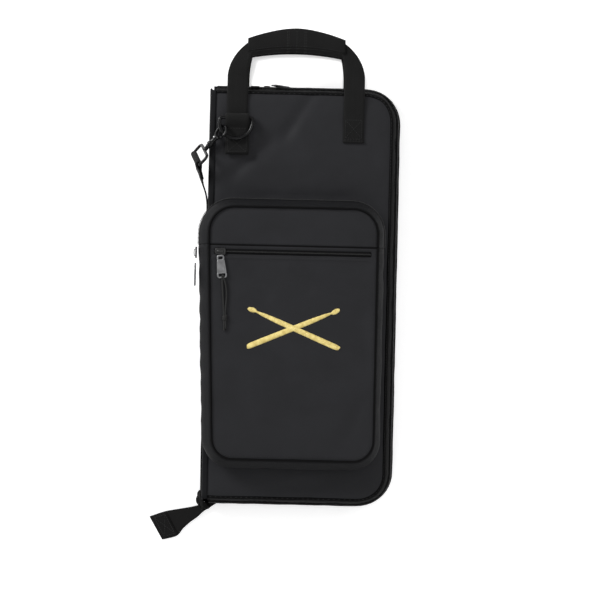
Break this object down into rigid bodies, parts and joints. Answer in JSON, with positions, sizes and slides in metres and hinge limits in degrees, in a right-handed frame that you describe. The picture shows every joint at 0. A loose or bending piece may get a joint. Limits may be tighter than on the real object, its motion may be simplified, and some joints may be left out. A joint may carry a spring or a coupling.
{
  "type": "drum stick bag",
  "caption": "Book-style zipped case for drum sticks with two carrying handles, a gusseted outer pocket with a slip pocket, and a clipped shoulder strap.",
  "frame": {"origin": "centre of the rear cover's flat outer face, which the bag lies on", "axes": "+Y towards the carrying handles, +X towards the opening edge, +Z out of the front face; the spine is on the -X side"},
  "size_m": [0.2855, 0.6037, 0.0928],
  "materials": {
    "nylon": "matt woven",
    "webbing": "matt ribbed",
    "binding": "matt",
    "lining": "matt",
    "foam": "matt",
    "zip_tape": "matt",
    "coil": "satin",
    "black_metal": "gloss",
    "grey_metal": "satin",
    "cord": "matt braided",
    "gold_thread": "satin",
    "black_plastic": "satin"
  },
  "bodies": {
    "rear_cover": {"rear_panel": "nylon", "rear_foam": "foam", "rear_lining": "lining", "rear_binding": "binding", "rear_gusset": "webbing", "rear_zip_tape": "zip_tape", "rear_zip_coil": "coil", "rear_stick_pocket": "lining", "rear_handle_end_left": "webbing", "rear_handle_end_right": "webbing", "zip_end_tab": "webbing", "strap_tail": "webbing"},
    "spine": {"spine_panel": "nylon", "spine_foam": "foam", "spine_lining": "lining", "strap_run": "webbing"},
    "front_cover": {"front_panel": "nylon", "front_foam": "foam", "front_lining": "lining", "front_binding": "binding", "front_gusset": "webbing", "front_zip_tape": "zip_tape", "front_zip_coil": "coil", "front_stick_pocket": "lining", "front_handle_end_left": "webbing", "front_handle_end_right": "webbing", "d_ring_tab": "webbing", "pocket_face": "nylon", "pocket_gusset": "nylon", "pocket_arch_gusset": "nylon", "pocket_zip": "coil", "pocket_piping": "binding", "slip_zip": "coil", "slip_pocket_liner": "lining", "badge": "gold_thread"},
    "pocket_flap": {"flap_face": "nylon", "flap_gusset": "nylon", "flap_piping": "binding"},
    "front_handle": {"front_handle_loop": "webbing"},
    "rear_handle": {"rear_handle_loop": "webbing"},
    "d_ring": {"d_ring": "black_metal"},
    "snap_hook": {"hook_body": "black_metal"},
    "hook_gate": {"hook_gate": "black_metal"},
    "hook_eye": {"hook_eye": "black_metal", "strap_end_loop": "webbing"},
    "strap_slide": {"strap_slide": "black_plastic"},
    "main_slider": {"main_slider": "coil"},
    "main_pull": {"main_pull": "grey_metal"},
    "pocket_slider": {"pocket_slider": "coil"},
    "pocket_pull": {"pocket_pull": "grey_metal"},
    "slip_slider": {"slip_slider": "coil"},
    "slip_pull": {"slip_pull": "grey_metal", "slip_cord": "cord"}
  },
  "joints": [
    {"name": "spine_fold", "type": "hinge", "parent": "rear_cover", "child": "spine", "pos_m": [-0.109, 0, 0.004], "axis": [0, -1, 0], "range_deg": [0, 135]},
    {"name": "cover_fold", "type": "hinge", "parent": "spine", "child": "front_cover", "pos_m": [-0.109, 0, 0.048], "axis": [0, -1, 0], "range_deg": [0, 30]},
    {"name": "front_handle_swing", "type": "hinge", "parent": "front_cover", "child": "front_handle", "pos_m": [-0.0108, 0.2205, 0.0543], "axis": [1, 0, 0], "range_deg": [0, 100]},
    {"name": "rear_handle_swing", "type": "hinge", "parent": "rear_cover", "child": "rear_handle", "pos_m": [-0.0108, 0.2475, 0.0017], "axis": [1, 0, 0], "range_deg": [0, 25]},
    {"name": "d_ring_lift", "type": "hinge", "parent": "front_cover", "child": "d_ring", "pos_m": [-0.0796, 0.207, 0.0593], "axis": [-1, 0, 0], "range_deg": [0, 35]},
    {"name": "hook_swing", "type": "hinge", "parent": "d_ring", "child": "snap_hook", "pos_m": [-0.09638, 0.18914, 0.06089], "axis": [-0.6305, 0.394, 0.6688], "range_deg": [-5, 8]},
    {"name": "gate_press", "type": "hinge", "parent": "snap_hook", "child": "hook_gate", "pos_m": [-0.09948, 0.18199, 0.06218], "axis": [-0.6305, 0.394, 0.6688], "range_deg": [0, 15], "stiffness_Nm_per_rad": 0.004},
    {"name": "hook_swivel", "type": "hinge", "parent": "snap_hook", "child": "hook_eye", "pos_m": [-0.11026, 0.17392, 0.05677], "axis": [-0.6608, -0.7245, -0.1961], "range_deg": [-10, 10]},
    {"name": "flap_fold", "type": "hinge", "parent": "front_cover", "child": "pocket_flap", "pos_m": [-0.01, 0.058, 0.091], "axis": [1, 0, 0], "range_deg": [0, 95]},
    {"name": "strap_adjust", "type": "slide", "parent": "spine", "child": "strap_slide", "axis": [0, 1, 0], "range_m": [-0.08, 0.06]},
    {"name": "main_slide", "type": "slide", "parent": "rear_cover", "child": "main_slider", "axis": [1, 0, 0], "range_m": [0, 0.06]},
    {"name": "main_pull_swing", "type": "hinge", "parent": "main_slider", "child": "main_pull", "pos_m": [-0.041, 0.2476, 0.029], "axis": [0, 0, 1], "range_deg": [0, 45]},
    {"name": "pocket_slide", "type": "slide", "parent": "front_cover", "child": "pocket_slider", "axis": [0, 1, 0], "range_m": [0, 0.018]},
    {"name": "pocket_pull_swing", "type": "hinge", "parent": "pocket_slider", "child": "pocket_pull", "pos_m": [-0.1224, 0.037, 0.07], "axis": [0, 0, -1], "range_deg": [0, 100]},
    {"name": "slip_slide", "type": "slide", "parent": "front_cover", "child": "slip_slider", "axis": [1, 0, 0], "range_m": [0, 0.16]},
    {"name": "slip_pull_lift", "type": "hinge", "parent": "slip_slider", "child": "slip_pull", "pos_m": [-0.0928, 0.0462, 0.0924], "axis": [-1, 0, 0], "range_deg": [0, 80]}
  ]
}
